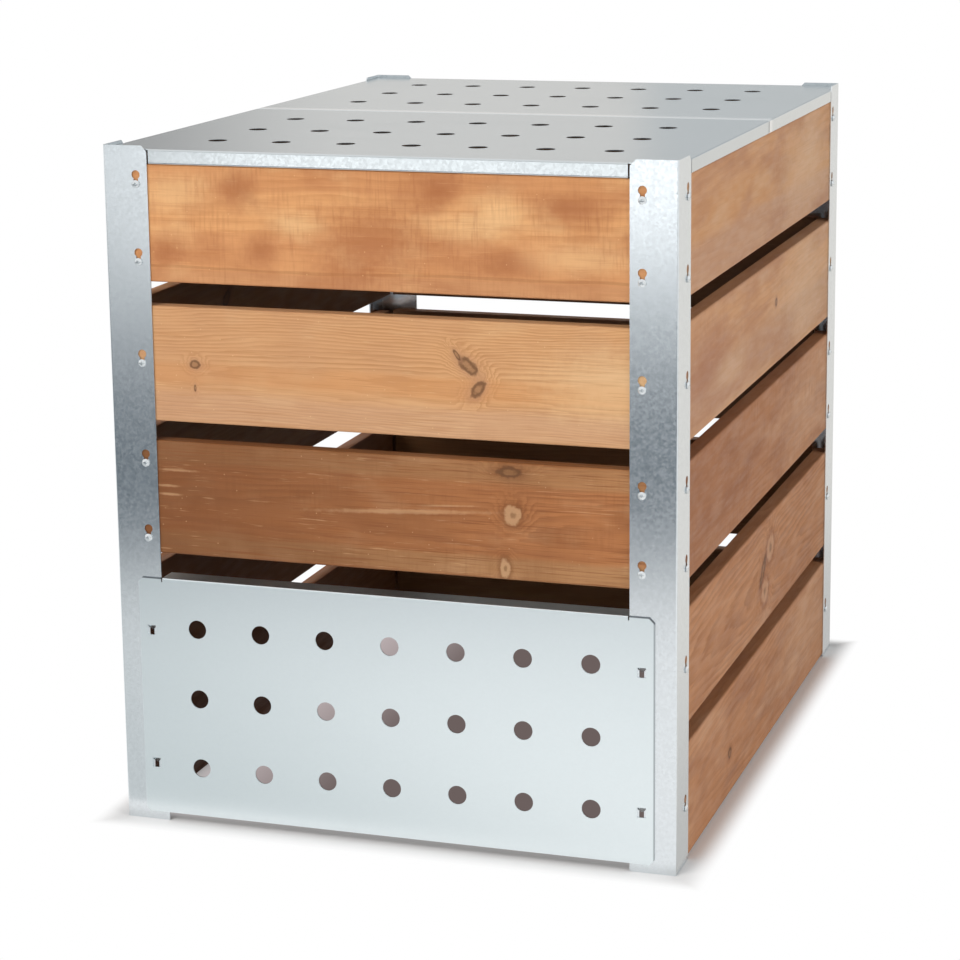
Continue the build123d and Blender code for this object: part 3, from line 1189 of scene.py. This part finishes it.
# Card on the floor in front: pale grey near the bin, greyer on the left, then blue-grey and paler again
tree = stage_plane("blue_grey_card", (card_left, card_far, 0.0), (card_right, card_near, 0.0), True)
axes = place_in_metres(tree)
reach = {0: axes.outputs["X"], 1: card_slant, 2: axes.outputs["Y"]}
reach = node(tree, "ShaderNodeMath", reach, operation="MULTIPLY_ADD")
sideways = {0: axes.outputs["Y"], 1: card_turn, 2: axes.outputs["X"]}
sideways = node(tree, "ShaderNodeMath", sideways, operation="MULTIPLY_ADD")
pale_grey = linear("#d8dcdd")
shade = laid_over(tree, pale_grey, linear("#ffffff"), sideways, card_grey_side, card_white_side, 1.0)
shade = laid_over(tree, shade, linear("#56626c"), reach, card_dark_start, card_dark_full, 1.0)
far_share = {"Value": reach, "From Min": card_pale_start, "From Max": card_pale_full}
far_share = node(tree, "ShaderNodeMapRange", far_share)
far_shade = {"Factor": far_share, "A": shade, "B": linear("#fbfcfc")}
shine(tree, node(tree, "ShaderNodeMix", far_shade, data_type="RGBA"))

# Grey card that stands at its far end, so that metal seen straight on is greyer than the background
tree = stage_plane("grey_upright_card", (card_left, card_far, 0.0), (card_right, card_far, card_top), True)
shine(tree, linear("#c9ced1"))

# Card on the floor on the right, which the posts' and the lids' sides mirror: greyer close to the bin
side_card_low = (cad_high.x, side_card_near, 0.0)
side_card_high = (side_card_right, side_card_far, 0.0)
tree = stage_plane("pale_warm_card", side_card_low, side_card_high, True)
rightwards = place_in_metres(tree).outputs["X"]
shade_end = cad_high.x + side_card_shade
shine(tree, laid_over(tree, linear("#ebe8e3"), linear("#cbc9c6"), rightwards, shade_end, cad_high.x, 1.0))

# Backdrop behind the bin that the lids mirror: grey on the left, pale in the middle, bluish on the right
backdrop_low = (backdrop_left, backdrop_distance, backdrop_bottom)
backdrop_high = (backdrop_right, backdrop_distance, backdrop_top)
tree = stage_plane("pale_grey_backdrop", backdrop_low, backdrop_high, True)
rightwards = place_in_metres(tree).outputs["X"]
grey = linear("#a0a0a0")
shade = laid_over(tree, grey, linear("#dad9d7"), rightwards, backdrop_grey_end, backdrop_pale_start, 1.0)
bluish = linear("#c6cacc")
shine(tree, laid_over(tree, shade, bluish, rightwards, backdrop_pale_end, backdrop_blue_start, 1.0))

# World: white behind the bin and in the metal, softer as a light
world = bpy.data.worlds.new("studio")
bpy.context.scene.world = world
world.use_nodes = True
tree = world.node_tree
tree.nodes.clear()
strength = node(tree, "ShaderNodeMapRange", {"Value": seen_share(tree), "To Min": world_light, "To Max": 1.0})
sky = node(tree, "ShaderNodeBackground", {"Color": linear("#ffffff"), "Strength": strength})
node(tree, "ShaderNodeOutputWorld", {"Surface": sky})

# Softboxes, aimed at the bin
for name, (place, width, height, power) in softboxes.items():
    lamp = bpy.data.lights.new(name, "AREA")
    lamp.shape = "RECTANGLE"
    lamp.size = width
    lamp.size_y = height
    lamp.energy = power
    holder = bpy.data.objects.new(name, lamp)
    holder.location = place
    holder.visible_glossy = name == mirrored_softbox
    holder.rotation_mode = "QUATERNION"
    holder.rotation_quaternion = (aim_point - Vector(place)).to_track_quat("-Z", "Y")
    bpy.context.scene.collection.objects.link(holder)

# Camera
camera = bpy.data.cameras.new("camera")
camera.sensor_width = camera_sensor
camera.lens = camera_focal_length
camera.shift_y = camera_shift
viewpoint = bpy.data.objects.new("camera", camera)
sight = Vector(
    (
        math.sin(camera_yaw) * math.cos(camera_pitch),
        math.cos(camera_yaw) * math.cos(camera_pitch),
        -math.sin(camera_pitch),
    )
)
viewpoint.location = camera_place
viewpoint.rotation_mode = "QUATERNION"
viewpoint.rotation_quaternion = sight.to_track_quat("-Z", "Y") @ Quaternion((0, 0, 1), camera_roll)
bpy.context.scene.collection.objects.link(viewpoint)
bpy.context.scene.camera = viewpoint
bpy.context.scene.view_settings.view_transform = "Standard"
